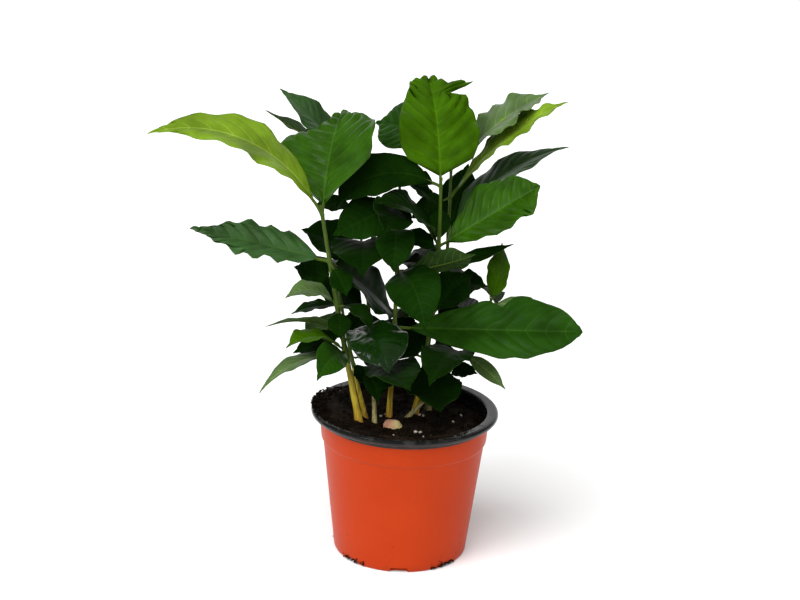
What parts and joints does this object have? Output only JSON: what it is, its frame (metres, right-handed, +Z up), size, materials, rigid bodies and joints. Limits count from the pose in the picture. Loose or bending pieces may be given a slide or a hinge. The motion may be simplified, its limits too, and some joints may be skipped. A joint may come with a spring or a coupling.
{
  "type": "potted coffee plant",
  "caption": "Young coffee plant, a clump of leaning seedlings with glossy paired leaves in a round nursery pot filled with peat.",
  "frame": {"origin": "middle of the pot's flat underside, where the pot stands", "axes": "+Z up along the pot's axis, which is the plant's longest extent; +X to the viewer's right in the picture; +Y away from the viewer"},
  "size_m": [0.261, 0.1434, 0.2926],
  "materials": {
    "orange_plastic": "semi-gloss moulded plastic",
    "black_plastic": "semi-gloss moulded plastic",
    "peat": "moist crumbly peat",
    "tan_stone": "dull rough stone",
    "stem_bark": "smooth young bark",
    "coffee_leaf": "waxy leaf"
  },
  "bodies": {
    "root": {"left_stem": "stem_bark", "twin_stem": "stem_bark", "slender_stem": "stem_bark", "middle_stem": "stem_bark", "low_stem": "stem_bark", "tall_stem": "stem_bark", "back_stem": "stem_bark", "left_lower_leaves": "coffee_leaf", "left_upper_leaves": "coffee_leaf", "twin_leaves": "coffee_leaf", "slender_lower_leaves": "coffee_leaf", "slender_upper_leaves": "coffee_leaf", "middle_lower_leaves": "coffee_leaf", "middle_upper_leaves": "coffee_leaf", "low_leaves": "coffee_leaf", "tall_lower_leaves": "coffee_leaf", "tall_upper_leaves": "coffee_leaf", "back_lower_leaves": "coffee_leaf", "back_upper_leaves": "coffee_leaf", "pot": "orange_plastic", "pot_rim": "black_plastic", "soil": "peat", "stone": "tan_stone"}
  },
  "joints": []
}
